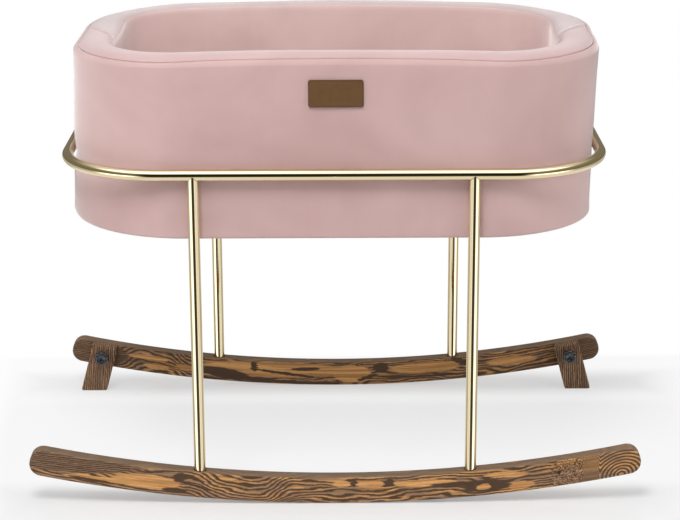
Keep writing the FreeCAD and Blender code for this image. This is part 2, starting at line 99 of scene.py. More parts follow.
class Finish:
    """One material's nodes, or the world's, added by kind, with their settings and then their sockets."""

    def __init__(self, name, world=None):
        self.material = world or bpy.data.materials.new(name)
        self.material.use_nodes = True
        self.tree = self.material.node_tree
        self.tree.nodes.clear()

    def node(self, kind, settings=None, sockets=None, output=0):
        made = self.tree.nodes.new("ShaderNode" + kind)
        for name, value in (settings or {}).items():
            setattr(made, name, value)
        for name, value in (sockets or {}).items():
            if isinstance(value, Value):
                self.tree.links.new(value.socket, made.inputs[name])
            elif isinstance(value, tuple) and len(value) == 3 and made.inputs[name].type == "RGBA":
                made.inputs[name].default_value = (*value, 1)
            else:
                made.inputs[name].default_value = value
        return Value(self, made.outputs[output])

    def place(self, stretch=(1, 1, 1)):
        """Object coordinates, in metres, stretched along each axis."""
        return self.node("Mapping", {}, {"Vector": self.node("TexCoord", output="Object"), "Scale": stretch})

    def noise(self, stretch, detail=2, roughness=0.5, distortion=0):
        """Cloudy noise from 0 to 1, with this many waves in a metre along each axis, or at given places."""
        where = stretch if isinstance(stretch, Value) else self.place(np.broadcast_to(stretch, 3))
        return self.node("TexNoise", {}, {"Vector": where, "Scale": 1, "Detail": detail,
                                          "Roughness": roughness, "Distortion": distortion})

    def axes(self, where=None):
        """The three parts of a direction or place, or of the object coordinates."""
        where = where or self.place()
        return [self.node("SeparateXYZ", {}, {0: where}, name) for name in ("X", "Y", "Z")]

    def mix(self, share, first, second):
        """Two colours, mixed by a share."""
        return self.node("Mix", {"data_type": "RGBA"}, {0: share, 6: first, 7: second}, 2)

    def bump(self, height, distance, strength=1, under=None):
        sockets = {"Height": height, "Distance": distance, "Strength": strength}
        if under:
            sockets["Normal"] = under
        return self.node("Bump", {}, sockets)

    def shine(self, **sockets):
        """The Principled surface that the material ends in."""
        named = {name.replace("_", " "): value for name, value in sockets.items()}
        self.end(self.node("BsdfPrincipled", {}, named))
        return self.material

    def end(self, surface, kind="Material"):
        output = self.tree.nodes.new("ShaderNodeOutput" + kind)
        self.tree.links.new(surface.socket, output.inputs["Surface"])


WELD = 2e-6


def piece(name, patches, material, smooth=True, sharp=None):
    """A mesh of patches, each a grid of points (rows, columns, 3). Neighbours join in four-sided faces,
    patches are welded where their points meet, and the faces turn outwards. Edges that turn by more than
    the sharp angle, in degrees, are shaded as corners."""
    points = np.concatenate([patch.reshape(-1, 3) for patch in patches])
    faces = []
    first = 0
    for patch in patches:
        rows, columns = patch.shape[:2]
        index = first + np.arange(rows * columns).reshape(rows, columns)
        faces.append(np.stack([index[:-1, :-1], index[1:, :-1], index[1:, 1:], index[:-1, 1:]], -1).reshape(-1, 4))
        first += rows * columns
    mesh = bpy.data.meshes.new(name)
    mesh.from_pydata(points.tolist(), [], np.concatenate(faces).tolist())
    shape = bmesh.new()
    shape.from_mesh(mesh)
    bmesh.ops.remove_doubles(shape, verts=shape.verts, dist=WELD)
    bmesh.ops.recalc_face_normals(shape, faces=shape.faces)
    shape.to_mesh(mesh)
    shape.free()
    mesh.polygons.foreach_set("use_smooth", np.full(len(mesh.polygons), smooth))
    if sharp:
        mesh.set_sharp_from_angle(angle=math.radians(sharp))
    mesh.materials.append(material)
    made = bpy.data.objects.new(name, mesh)
    bpy.context.scene.collection.objects.link(made)
    return made


def applied(made):
    """The object's mesh with its modifiers worked in."""
    return bpy.data.meshes.new_from_object(made.evaluated_get(bpy.context.evaluated_depsgraph_get()))


def board(side_y):
    """Along the arc and up from its middle line, the outline is a long bar with quarter-round corners. Each
    cross-section is that outline drawn in by the edge's round, and a point is the arc's centre plus its
    radius turned by along / middle radius."""
    corner_start = MIDDLE_RADIUS * math.asin(BOARD_LENGTH / 2 / MIDDLE_RADIUS) - BOARD_END_RADIUS
    turn = np.radians(np.linspace(0, 90, 13))
    straight = np.linspace(0, corner_start, BOARD_STEPS + 1)[:-1]
    along = np.concatenate([straight, corner_start + BOARD_END_RADIUS * np.sin(turn)])
    lean = np.concatenate([0 * straight, turn])
    rise = BOARD_HEIGHT / 2 - BOARD_END_RADIUS * (1 - np.cos(lean))
    along = np.concatenate([-along[:0:-1], along])
    lean = np.concatenate([-lean[:0:-1], lean])
    rise = np.concatenate([rise[:0:-1], rise])
    ease = np.radians(np.linspace(0, 90, 6))
    drawn_in = BOARD_EDGE * (1 - np.sin(ease))
    out = BOARD_THICKNESS / 2 - BOARD_EDGE + BOARD_EDGE * np.cos(ease)
    drawn_in = np.concatenate([drawn_in, drawn_in[::-1]])
    across = np.concatenate([-out, out[::-1]])

    def point(along, up, across):
        radius = MIDDLE_RADIUS - up
        angle = along / MIDDLE_RADIUS
        return np.stack([radius * np.sin(angle), side_y + across, ARC_RADIUS - radius * np.cos(angle)], -1)

    inner_along = along[:, None] - drawn_in * np.sin(lean)[:, None]
    inner_rise = rise[:, None] - drawn_in * np.cos(lean)[:, None]
    wide = np.broadcast_to(across, inner_along.shape)
    over = point(inner_along, inner_rise, wide)
    under = point(inner_along, -inner_rise, wide)
    share = np.array([-1, -0.96, -0.5, 0, 0.5, 0.96, 1])
    grid = 0 * along[:, None] + 0 * share
    faces = [point(inner_along[:, [k]] + grid, inner_rise[:, [k]] * share, across[k] + grid) for k in (0, -1)]
    ends = [np.stack([over[k], under[k]], 1) for k in (0, -1)]
    return [over, under] + faces + ends


def drum(x, y, low, high, radius):
    """A closed round bar from low to high: circles of one radius, with a point at the middle of each end."""
    angle = np.linspace(0, 2 * math.pi, 49)
    ring = np.stack([np.cos(angle), np.sin(angle), 0 * angle], -1)
    rows = [(0, low), (radius, low), (radius, high), (0, high)]
    return np.stack([ring * (r, r, 0) + (x, y, z) for r, z in rows])


STRIPE = 0.0062
FINE_STRIPE = 0.0034
WANDER = 0.046
SLANT = 0.35
RAGGED_RISE = 0.0042
RAGGED_REACH = 0.016
CRACKLE_DEPTH = 0.02
CARAMEL = (0.409, 0.176, 0.055), (0.933, 0.503, 0.185)
BROWN = (0.041, 0.023, 0.013), (0.144, 0.082, 0.046)
PAINTED_TOP_SHEEN = (0.146, 0.093, 0.059), (0.305, 0.21, 0.14)
DULL_DARK = (0.207, 0.115, 0.063)
PORE = (0.044, 0.024, 0.015)
KNOT = (0.012, 0.006, 0.005)


def striped_wood(name, seed, boats=(), pale=(), dark=(), eyes=(), knots=(), fine=(), rings=None, crackle=None,
                 upright=False, dull_light=(0.488, 0.299, 0.181)):
    """Dark and caramel figure. Stripes are the steps of one field: the height across the grain, raised in
    each boat by a flat-topped bell over the length, wandering with noise, and turning into rings at one
    end. Pale and dark ovals with ragged edges lie over the stripes, then pale eyes and black knots, and in
    the fine zones the stripes are narrow and dull. An oval is its middle along and across the board, its
    half length and half height, in millimetres, and its slope."""
    finish = Finish(name)
    x, y, z = finish.axes()
    if upright:
        length, up = z, x
    else:
        drop = ARC_RADIUS - z
        length, up = x, MIDDLE_RADIUS - (x * x + drop * drop).maths("SQRT")
    grain = finish.node("CombineXYZ", {}, {0: length, 1: y, 2: up})

    def figure(stretch, shift, detail=2, roughness=0.5):
        where = finish.node("Mapping", {}, {"Vector": grain, "Scale": stretch, "Location": shift})
        return finish.noise(where, detail, roughness) - 0.5

    wander = figure((7, 9, 26), (seed, 0, 0), 2.5, 0.55)
    ragged = figure((85, 40, 260), (0, seed, 0), 3, 0.65)
    ragged_up = up + ragged * RAGGED_RISE
    ragged_length = length + figure((70, 40, 500), (0, 0, seed), 2, 0.6) * RAGGED_REACH

    def oval(middle, level, half_length, half_height, slope=0):
        off = ragged_length - middle / 1000
        along = off / (half_length / 1000)
        over = (ragged_up - level / 1000 - off * slope) / (half_height / 1000)
        return 1 - (along * along + over * over)

    field = ragged_up + y * SLANT + wander * WANDER
    for middle, width, depth in boats:
        off = (length - middle) / width
        field = field + (-(off * off * off * off)).maths("EXPONENT") * depth
    if rings:
        ring_x, ring_up, ring_start = rings
        far = (length - ring_x) * (length - ring_x) * 0.75 + (up - ring_up) * (up - ring_up) * 1.2
        near = length.step(ring_start, ring_start + 0.03)
        field = field + (far.maths("SQRT") * 1.15 + ragged * 0.0022 - field) * near
    if crackle:
        start, end = crackle
        where = length.step(start - 0.012, start + 0.012) * (1 - length.step(end - 0.01, end + 0.01))
        field = field + figure((190, 60, 280), (0, 0, seed), 1) * where * CRACKLE_DEPTH
    phase = (field / STRIPE).maths("FRACT")
    light = phase.step(0.02, 0.28) * (1 - phase.step(0.44, 0.8))
    tone = figure((16, 12, 90), (seed * 2, 0, 3), 2, 0.6).step(-0.1, 0.12) * 0.8 + 0.1
    for shade, places in ((1, pale), (0, dark), (1, eyes)):
        for place in places:
            inside = oval(*place).step(-0.18, 0.26)
            light = light + (shade - light) * inside
            tone = tone.maths("MAXIMUM", inside * shade)
    for *place, slope in fine:
        inside = oval(*place, slope).step(-0.25, 0.25)
        narrow = ((ragged_up - length * slope + wander * 0.008) / FINE_STRIPE).maths("FRACT")
        thin = narrow.step(0.05, 0.25) * (1 - narrow.step(0.45, 0.7))
        light = light + (thin * 0.75 - light) * inside
        tone = tone * (1 - inside)
    fibre = figure((30, 700, 1500), (0, seed, 0), 3, 0.65) + 0.5
    pores = figure((90, 1500, 2600), (seed, 0, 0), 1).step(0.13, 0.21)
    streak = figure((9, 60, 330), (seed, 0, 5), 2, 0.6).step(-0.16, 0.16)
    caramel = finish.mix(streak * 0.7 + fibre * 0.3, *CARAMEL)
    dull = finish.mix(streak * 0.5 + fibre * 0.5, DULL_DARK, dull_light)
    colour = finish.mix(light * 0.94, finish.mix(fibre, *BROWN), finish.mix(tone, dull, caramel))
    colour = finish.mix(pores * 0.45, colour, PORE)
    for place in knots:
        colour = finish.mix(oval(*place).step(-0.2, 0.3) * 0.9, colour, KNOT)
    # Faces that look upwards are painted an even, greyer brown: a painted sheen for the light from above.
    if not upright:
        facing = finish.axes(finish.node("TexCoord", output="Normal"))[2]
        colour = finish.mix(facing.step(0.5, 0.85) * 0.85, colour, finish.mix(fibre, *PAINTED_TOP_SHEEN))
    relief = fibre * 0.5 + light * 0.5 - pores * 0.8
    return finish.shine(Base_Color=colour, Roughness=0.5 + (fibre - 0.5) * 0.25, Specular_IOR_Level=0.25,
                        Normal=finish.bump(relief, 0.00022, 0.7))


def bored(blank, drills):
    """Cuts each drill's shape out of the blank, which becomes one plain mesh."""
    for drill in drills:
        cut = blank.modifiers.new("bore", "BOOLEAN")
        cut.operation = "DIFFERENCE"
        cut.object = drill
    finished = applied(blank)
    blank.modifiers.clear()
    blank.data = finished
    for drill in drills:
        bpy.data.objects.remove(drill)
    finished.polygons.foreach_set("use_smooth", np.full(len(finished.polygons), True))
    finished.set_sharp_from_angle(angle=math.radians(40))


front_wood = striped_wood(
    "front_rocker_wood", 3.1, boats=[(-0.147, 0.062, 0.024)], rings=(0.455, -0.019, 0.392), crackle=(0.345, 0.402),
    pale=[(-300, -3, 56, 12.5, 0.02), (-372, -9.5, 64, 4.2, 0.03), (55, 10, 24, 6.5), (140, 8, 56, 6, -0.03),
          (296, -11, 21, 7), (272, 10, 36, 5, -0.08), (10, 11, 15, 5.5)],
    dark=[(-247, 10, 11, 8.5, 0.15), (-222, -2, 34, 2.2, -0.22), (-256, -12.5, 20, 3.6), (-385, -13, 42, 2.6, -0.02),
          (86, 11.5, 9, 7), (30, 12, 5, 6.5), (198, 2, 48, 3.6, -0.03), (240, -5.5, 38, 10.5, -0.03)],
    eyes=[(237, -6.8, 11.8, 5.2)], knots=[(357, 1.5, 3, 3)], fine=[(-430, 10, 118, 16.5, 0.085)])
rear_wood = striped_wood(
    "rear_rocker_wood", 7.7, boats=[(-0.335, 0.05, -0.02), (0.13, 0.085, -0.012)],
    pale=[(-332, -8.5, 24, 6), (-345, 7, 40, 5, 0.02), (-278, -4, 20, 5.5, -0.05), (-110, 6, 140, 15),
          (30, 0, 36, 18), (165, 6, 68, 11), (325, 2, 48, 8, -0.04)],
    dark=[(-205, -7, 46, 10.5, -0.1), (-151, 10, 7, 10), (-92, -1, 64, 2.8, -0.11), (-56, 9, 28, 3.2, 0.04),
          (-110, -16.5, 110, 3.4, -0.03), (84, 10, 15, 10.5), (58, -8, 18, 4, 0.3), (170, -10.5, 85, 2.2, -0.02),
          (232, 12, 20, 6, -0.4)],
    knots=[(40, 16.5, 2.2, 2), (50, 17.2, 1.8, 1.6)], fine=[(-445, 0, 60, 24, 0.05), (455, 0, 35, 26, 0)])
socket_floor = ARC_RADIUS - math.sqrt((ARC_RADIUS - BOARD_HEIGHT) ** 2 - LEG_X ** 2) - SOCKET_DEPTH

for end_name, row_y, wood in ("front", FRONT_Y, front_wood), ("rear", REAR_Y, rear_wood):
    rocker = piece(end_name + "_rocker", board(row_y), wood)
    drills = [piece("drill", [drum(hand * LEG_X, row_y, socket_floor, DRILL_TOP, SOCKET_RADIUS)], wood)
              for hand in (-1, 1)]
    bored(rocker, drills)
    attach(rocker, "root")
    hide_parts("rocker_" + end_name)


# Legs: four straight tubes of polished gold-coloured steel, standing in the rockers' sockets.
# Each is coped at the top to the round of the rail, and the joint is a fine dark line.

TUBE_RADIUS = 0.009
RAIL_HEIGHT = 0.538
LEG_FOOT = 0.0343
LIP_HEIGHT = 0.003


def polished_gold():
    finish = Finish("gold_tube")
    smear = finish.noise(7, 3, 0.6)
    colour = finish.mix(smear, (0.8, 0.675, 0.425), (0.86, 0.75, 0.52))
    return finish.shine(Base_Color=colour, Metallic=1, Roughness=0.055 + smear * 0.04,
                        Normal=finish.bump(finish.noise(160), 0.00002, 0.3))


gold = polished_gold()


def coped_tube(x, y):
    """Circles of one radius from the foot up. The top circle's height is the rail's underside over that
    point, the rail's height less radius x the cosine of the angle, and its lip turns in a little."""
    angle = np.linspace(0, 2 * math.pi, 49)
    share = np.concatenate([[0], np.linspace(0.01, 1, 12)])[:, None]
    under_rail = RAIL_HEIGHT - TUBE_RADIUS * np.abs(np.cos(angle))
    lip = np.array([0.0016, 0.0008, 0.0003, 0])[:, None]
    draw = np.array([0, 0.0001, 0.0004, 0.0009])[:, None]
    height = np.concatenate([LEG_FOOT + (under_rail - LIP_HEIGHT - LEG_FOOT) * share, under_rail - lip])
    radius = TUBE_RADIUS - np.concatenate([0 * share, draw])
    wall = np.stack([x + radius * np.cos(angle), y + radius * np.sin(angle), height], -1)
    foot = np.stack([wall[0] * 0 + (x, y, LEG_FOOT), wall[0]])
    head = np.stack([wall[-1], wall[-1] * (0, 0, 1) + (x, y, 0)])
    return [wall, foot, head]


for end_name, row_y in (("front", FRONT_Y), ("rear", REAR_Y)):
    for side_name, hand in (("left", -1), ("right", 1)):
        leg = piece("leg_tube_" + end_name + "_" + side_name, coped_tube(hand * LEG_X, row_y), gold, sharp=50)
        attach(leg, "root")
        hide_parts("leg_" + end_name + "_" + side_name)


# Rail: one closed ring of the same tube, bent round the basket at four wide corners.
# It rests on the legs, and the basket is bolted to it from inside.

RAIL_HALF_LENGTH = 0.425
RAIL_HALF_WIDTH = 0.271
RAIL_CORNER = 0.158


def plan_loop(half_length, half_width, corner, long_steps, end_steps, corner_steps):
    """A rounded oblong in plan, as a base point and a way out for each step round it: the loop's points
    are base + way out x corner radius. The base is a corner's centre, or slides along a straight run."""
    long_run = np.linspace(-1, 1, long_steps + 1)[:-1] * (half_length - corner)
    end_run = np.linspace(-1, 1, end_steps + 1)[:-1] * (half_width - corner)
    quarter = np.linspace(0, math.pi / 2, corner_steps + 1)[:-1]
    base, out = [], []
    for side in range(4):
        run, half = (end_run, half_length) if side % 2 else (long_run, half_width)
        angle = side * math.pi / 2
        way = np.array([math.sin(angle), -math.cos(angle)])
        ahead = np.array([math.cos(angle), math.sin(angle)])
        edge = way * (half - corner)
        turn = angle + quarter
        base += [run[:, None] * ahead + edge, np.broadcast_to(-run[0] * ahead + edge, (corner_steps, 2))]
        out += [np.broadcast_to(way, (len(run), 2)), np.stack([np.sin(turn), -np.cos(turn)], -1)]
    base, out = np.concatenate(base), np.concatenate(out)
    return np.concatenate([base, base[:1]]), np.concatenate([out, out[:1]])


def reached(base, out, reach, height):
    """The points base + way out x reach, at their heights."""
    return np.concatenate([base + out * reach[..., None], height[..., None]], -1)


def bent_ring():
    """The tube's circle round the plan loop: reach = corner + radius cos, height = rail's height + radius sin."""
    base, out = plan_loop(RAIL_HALF_LENGTH, RAIL_HALF_WIDTH, RAIL_CORNER, 24, 10, 28)
    angle = np.linspace(0, 2 * math.pi, 41)
    each = np.zeros((len(base), 1))
    reach = RAIL_CORNER + TUBE_RADIUS * np.cos(angle) + each
    return [reached(base[:, None], out[:, None], reach, RAIL_HEIGHT + TUBE_RADIUS * np.sin(angle) + each)]


rail = piece("rail_ring", bent_ring(), gold)
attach(rail, "root")
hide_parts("rail")


# Hidden fasteners: zinc-plated plugs, studs, bolts, inserts and bushes inside the tubes and boards.
# Turned and rolled parts, with fine turning marks.

def plated_steel():
    finish = Finish("plated_steel")
    marks = finish.noise((60, 60, 2400), 2, 0.6)
    cloud = finish.noise(90)
    colour = finish.mix(cloud, (0.56, 0.57, 0.59), (0.74, 0.745, 0.76))
    return finish.shine(Base_Color=colour, Metallic=1, Roughness=0.28 + marks * 0.14,
                        Normal=finish.bump(marks, 0.00003, 0.4))


def dress(material, *nodes):
    """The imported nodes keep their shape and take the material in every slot."""
    for node in nodes:
        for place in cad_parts[node].material_slots:
            place.material = material


steel = plated_steel()
dress(steel, "leg_bottom_plugs", "leg_top_plugs", "rail_studs", "leg_bolts", "rail_inserts", "basket_bolts",
      "stop_bushes", "stop_washers", "knob_stud_left", "knob_stud_right")


# Stops: two short legs of the same striped wood, screwed to the rear rocker's inner face.
# They stand on the floor, raked outwards, and keep the cradle from rocking until they are folded up.

stop_wood = striped_wood("stop_wood", 11.3, fine=[(60, 0, 200, 1000, 0)], upright=True,
                         dull_light=(0.84, 0.5, 0.29))
dress(stop_wood, "stop_left", "stop_right")


# Knobs: black moulded hand knobs with six lobes and a dished middle.
# Each is on a stud that goes through its stop into the rear rocker and clamps it.

KNOB_FACE = 0.218
KNOB_RADIUS = 0.0125
KNOB_WAIST = 0.0106
KNOB_LOBES = 6
STOP_PLACE = 0.428
PIVOT_HEIGHT = 0.06664


def moulded_black():
    finish = Finish("black_knob")
    cloud = finish.noise(260)
    colour = finish.mix(cloud, (0.015, 0.017, 0.023), (0.039, 0.044, 0.056))
    return finish.shine(Base_Color=colour, Roughness=0.19 + cloud * 0.12, Specular_IOR_Level=0.9,
                        Normal=finish.bump(finish.noise(1800, 2, 0.6), 0.00005, 0.35))


def lobed_knob(x):
    """Rings of one lobed outline, radius = waist + (rim - waist) x a power of the raised cosine of six times
    the angle. The profile, from the collar to the face and into the dish, is each ring's reach and how far
    behind the face it lies, in millimetres, and 1 if the reach starts at that outline, 0 if at the middle."""
    angle = np.linspace(0, 2 * math.pi, 97)
    lobe = np.power(0.5 + 0.5 * np.cos(KNOB_LOBES * angle), 0.6)
    outline = KNOB_WAIST + (KNOB_RADIUS - KNOB_WAIST) * lobe
    profile = [(0, 15, 0), (7, 15, 0), (7, 12, 0), (-1.2, 12, 1), (-0.3, 11.6, 1), (0, 10.8, 1), (0, 2.4, 1),
               (-0.3, 1.2, 1), (-1, 0.4, 1), (-2, 0, 1), (6.2, 0, 0), (5.5, 0.5, 0), (5.1, 2.8, 0), (4.6, 3.3, 0),
               (0, 3, 0)]
    reach, back, lobed = np.array(profile).T[..., None]
    radius = outline * lobed + reach / 1000
    depth = KNOB_FACE + back / 1000 + 0 * angle
    return [np.stack([x + radius * np.sin(angle), depth, PIVOT_HEIGHT + radius * np.cos(angle)], -1)]


black = moulded_black()
for side_name, hand in (("left", -1), ("right", 1)):
    knob = piece("star_knob_" + side_name, lobed_knob(hand * STOP_PLACE), black, sharp=50)
    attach(knob, "knob_" + side_name)
    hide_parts("knob_" + side_name)


# Basket shell: a band of bent plywood glued round a plywood board, hidden by cover and lining.
# Birch faces with thin darker plies on the edges.

def birch_ply():
    finish = Finish("birch_ply")
    x, y, z = finish.axes()
    plies = (z / 0.0014).maths("FRACT").step(0.42, 0.58)
    figure = finish.noise((9, 60, 60), 4, 0.6)
    colour = finish.mix(figure, (0.56, 0.4, 0.24), (0.72, 0.56, 0.37))
    colour = finish.mix(plies * 0.25, colour, (0.36, 0.22, 0.12))
    return finish.shine(Base_Color=colour, Roughness=0.55 + figure * 0.15, Normal=finish.bump(figure, 0.0002, 0.5))


dress(birch_ply(), "base_board", "basket_wall")


# Basket cover: a sleeve of pink short-pile velvet drawn over the shell and stapled under the board.
# At the top it turns over a soft shoulder into the seam that joins it to the rim.

BASKET_HALF_LENGTH = 0.4157
BASKET_HALF_WIDTH = 0.2617
BASKET_CORNER = 0.186
BASKET_FLOOR = 0.434
WALL_TOP = 0.705
WALL_UNEVEN = 0.0011
WALL_DRAW = 0.0006
WALL_FADE = 0.03
RAIL_PRESS = 0.017
RIM_RISE = 0.017
RIM_WIDTH = 0.0537
END_WIDENING = 0.0099
SIDE_WIDENING = 0.0033
CREST_SHARE = 0.544
OUTER_ROUND = 1.83
END_ROUNDING = 0.7
END_POWER = 1.54
INNER_ROUND = 3.6
SEAM_IN = 0.0072
END_SEAM_IN = 0.003
SEAM_SLIP = 0.0016
SEAM_SLIP_X = 0.28
SEAM_SLIP_REACH = 0.062
CAMBER_RADIUS = 7.97
CAMBER_START = 0.2297
CAMBER_EASE = 0.91
SEAM_DIP = 0.003
SEAM_ROLL = 0.0032
END_FULLNESS = 0.0042
END_DRAW = 0.0012
REAR_SWELL = 0.005
REAR_SWELL_LOW = 0.58
REAR_SWELL_RISE = 0.1
REAR_SWELL_REACH = 0.08
END_LEAN = 0.045
LEAN_MIDDLE = 0.575
CROSS_SEAM_START = 0.0168
CROSS_SEAM_OUTER = 0.028
CROSS_SEAM_SLOPE = 1.7
HEM = 0.026
HEM_ROUND = 0.0035
CLOTH = 0.0018


def camber(x):
    """How far the rim drops from the middle: a wide circle over the long run, then a straight slope."""
    far = np.abs(x)
    slope = CAMBER_START / CAMBER_RADIUS
    return np.where(far < CAMBER_START, far ** 2 / (2 * CAMBER_RADIUS),
                    CAMBER_START * slope / 2 + (far - CAMBER_START) * slope * CAMBER_EASE)


def end_share(base, out):
    """0 along the sides and 1 at the middle of each end: a power of the cosine of the outer loop's y."""
    across = np.abs(base[..., 1] + out[..., 1] * BASKET_CORNER) / BASKET_HALF_WIDTH
    return np.cos(np.minimum(across, 1) * math.pi / 2) ** END_POWER


def rim_width(base, out):
    """The rim is wider towards the corners, and widest at the ends."""
    along = np.minimum(np.abs(base[..., 0] + out[..., 0] * BASKET_CORNER) / CAMBER_START, 1)
    return RIM_WIDTH + END_WIDENING * end_share(base, out) + SIDE_WIDENING * along ** 2


def seam_inset(base, out):
    """How far in from the wall the outer seam lies. It slips outwards a little where the corners start."""
    along = np.abs(base[..., 0] + out[..., 0] * BASKET_CORNER)
    slip = SEAM_SLIP * np.exp(-((along - SEAM_SLIP_X) / SEAM_SLIP_REACH) ** 2)
    return SEAM_IN + END_SEAM_IN * end_share(base, out) - slip


def rim_height(inset, width, share):
    """The rim's height over the wall's top at an inset: one superellipse up to the crest, squarer at the
    ends, and a squarer one after it."""
    crest = width * CREST_SHARE
    outer = OUTER_ROUND + END_ROUNDING * share
    before = np.clip((crest - inset) / crest, 0, 1)
    after = np.clip((inset - crest) / (width - crest), 0, 1)
    return RIM_RISE * np.where(inset < crest, (1 - before ** outer) ** (1 / outer),
                               (1 - after ** INNER_ROUND) ** (1 / INNER_ROUND))


def fuller_ends(points, share, depth=1):
    """The soft ends stand out from the shell, the right one more towards the top and the left one more
    towards the floor, by a slope over the height. The right end is fuller again at its upper rear."""
    lean = END_LEAN * (points[..., 2] - LEAN_MIDDLE)
    way = np.sign(points[..., 0])
    swell = END_FULLNESS + way * lean
    swell = (swell + np.sqrt(swell ** 2 + 1.2e-6)) / 2 - END_DRAW
    rearwards = np.clip(points[..., 1] / REAR_SWELL_REACH, 0, 1)
    upwards = np.clip((points[..., 2] - REAR_SWELL_LOW) / REAR_SWELL_RISE, 0, 1)
    swell = swell + REAR_SWELL * (way > 0) * rearwards * upwards
    points[..., 0] += way * swell * share * depth
    return points


def sunk(inset, height, depth):
    """A section drawn in along its own way out: inset and height with a turn of their slope added."""
    slope_in = np.gradient(inset, axis=1)
    slope_up = np.gradient(height, axis=1)
    length = np.maximum(np.hypot(slope_in, slope_up), 1e-9)
    return inset + slope_up / length * depth, height - slope_in / length * depth


def section_run(inset, height):
    """How far each point of a section lies from its first, along the section."""
    steps = [np.diff(part, axis=1, prepend=part[:, :1]) for part in (inset, height)]
    return np.cumsum(np.hypot(*steps), 1)


def seam_roll(distance, depth, roll=SEAM_ROLL):
    """How far the cloth sinks beside a seam: a quarter round over the seam's roll."""
    near = np.clip(1 - distance / roll, 0, 1)
    return depth * (1 - np.sqrt(1 - near ** 2 + 1e-12))


def cross_seam(inset):
    """How far back the seam across an end lies at an inset: further forward the further in it is."""
    return CROSS_SEAM_OUTER - (inset - CROSS_SEAM_START) * CROSS_SEAM_SLOPE


def pile_velvet(name, deep, pale, sheen, seam_highlight=False):
    """Velvet: brushed nap in soft clouds, a fine pile, and a sheen that lights the surface edge on. On the rim's
    lengths a painted highlight draws a light line along the seams across the ends."""
    finish = Finish(name)
    cloud = finish.noise((3.2, 3.2, 4.6), 3, 0.55, 0.6)
    brushed = finish.noise((26, 26, 9), 3, 0.6)
    pile = finish.noise(1500, 2, 0.6)
    weave = finish.noise(420, 1, 0.5)
    nap = cloud.step(0.32, 0.68) * 0.55 + brushed * 0.3 + pile * 0.15
    colour = finish.mix(nap, deep, pale)
    # Painted highlight: a pale line beside each cross seam, at the ends only.
    if seam_highlight:
        x, y, z = finish.axes()
        beside = abs(y - cross_seam(BASKET_HALF_LENGTH - abs(x))).step(0.0034, 0.0012)
        at_end = abs(x).step(0.33, 0.34)
        colour = finish.mix(beside * at_end * 0.6, colour, (0.93, 0.85, 0.84))
    relief = finish.bump(weave, 0.0004, 0.25, finish.bump(pile, 0.00025, 0.55))
    return finish.shine(Base_Color=colour, Roughness=0.85 + (brushed - 0.5) * 0.2, Specular_IOR_Level=0.2,
                        Sheen_Weight=sheen, Sheen_Roughness=0.42, Sheen_Tint=(1, 0.96, 0.95, 1), Normal=relief)


def unevenness(points, scale, depth, seed):
    """A soft swell over the surface, from a few slow waves of the three coordinates."""
    draw = np.random.default_rng(seed)
    swell = 0
    for way in draw.normal(size=(7, 3)) * scale:
        swell = swell + np.sin(points @ way + draw.uniform(0, 2 * math.pi))
    return swell * depth / 7


def cover_wall():
    """The plan loop drawn down from the seam, where the cloth sinks in: over the rim's outer shoulder, down
    the wall, and under through a small round. The rail presses the wall in by a bell over the height."""
    base, out = plan_loop(BASKET_HALF_LENGTH, BASKET_HALF_WIDTH, BASKET_CORNER, 64, 16, 30)
    share = end_share(base, out)[:, None]
    width = rim_width(base, out)[:, None]
    crest = width * CREST_SHARE
    first = (crest - seam_inset(base, out)[:, None]) / crest
    turn = np.radians(np.linspace(0, 90, 22))
    inset = crest * (1 - first - (1 - first) * np.sin(turn))
    over = rim_height(inset, width, share)
    inset, over = sunk(inset, over, -seam_roll(section_run(inset, over), SEAM_DIP))
    top = WALL_TOP - camber(base[:, 0] + out[:, 0] * BASKET_CORNER)[:, None]
    low = BASKET_FLOOR + HEM_ROUND
    fall = np.linspace(0, 1, 48)[1:]
    wall_height = top - (top - low) * fall
    hem_turn = np.radians(np.linspace(15, 90, 6))
    wide = np.ones_like(top)
    height = np.concatenate([top + over, wall_height, wide * (low - HEM_ROUND * np.sin(hem_turn)),
                             wide * [BASKET_FLOOR + 0.0001, BASKET_FLOOR + 0.0003]], 1)
    drawn = np.concatenate([inset, 0 * wall_height, wide * HEM_ROUND * (1 - np.cos(hem_turn)),
                            wide * [HEM_ROUND + 0.004, HEM]], 1)
    points = reached(base[:, None], out[:, None], BASKET_CORNER - drawn, height)
    fade = np.clip((top - height) / WALL_FADE, 0, 1) * np.clip((height - BASKET_FLOOR) / WALL_FADE, 0, 1)
    press = 1 - np.exp(-((height - RAIL_HEIGHT) / RAIL_PRESS) ** 2)
    push = (unevenness(points, (16, 16, 22), WALL_UNEVEN, 5) - WALL_DRAW) * fade * press
    points[..., :2] += out[:, None] * push[..., None]
    return [fuller_ends(points, share, press * np.clip((height - BASKET_FLOOR + 0.004) / 0.012, 0, 1))]


def thickened(made):
    """The cloth's own thickness, on the inner side."""
    skin = made.modifiers.new("cloth", "SOLIDIFY")
    skin.thickness = CLOTH
    skin.offset = -1
    skin.use_even_offset = True
    return made


velvet = pile_velvet("velvet", (0.503, 0.322, 0.305), (0.671, 0.466, 0.447), 1.00)
wall = thickened(piece("basket_cover", cover_wall(), velvet))
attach(wall, "root")
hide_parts("outer_cover", "wall_padding")


# Rim: the same velvet over a foam roll, in a front and a rear length sewn together across each end.
# The outer seam is a fine drawn-in line; the cross seams are curved and pull small puckers.

RIM_ROWS = 36
RIM_UNEVEN = 0.001
INNER_SEAM_SHARE = 0.971
CROSS_ROLL = 0.0075
CROSS_DIP = 0.0026
CROSS_HOLLOW = 0.0009
CROSS_HOLLOW_REACH = 0.02
PUCKER = 0.0008
PUCKER_REACH = 0.016


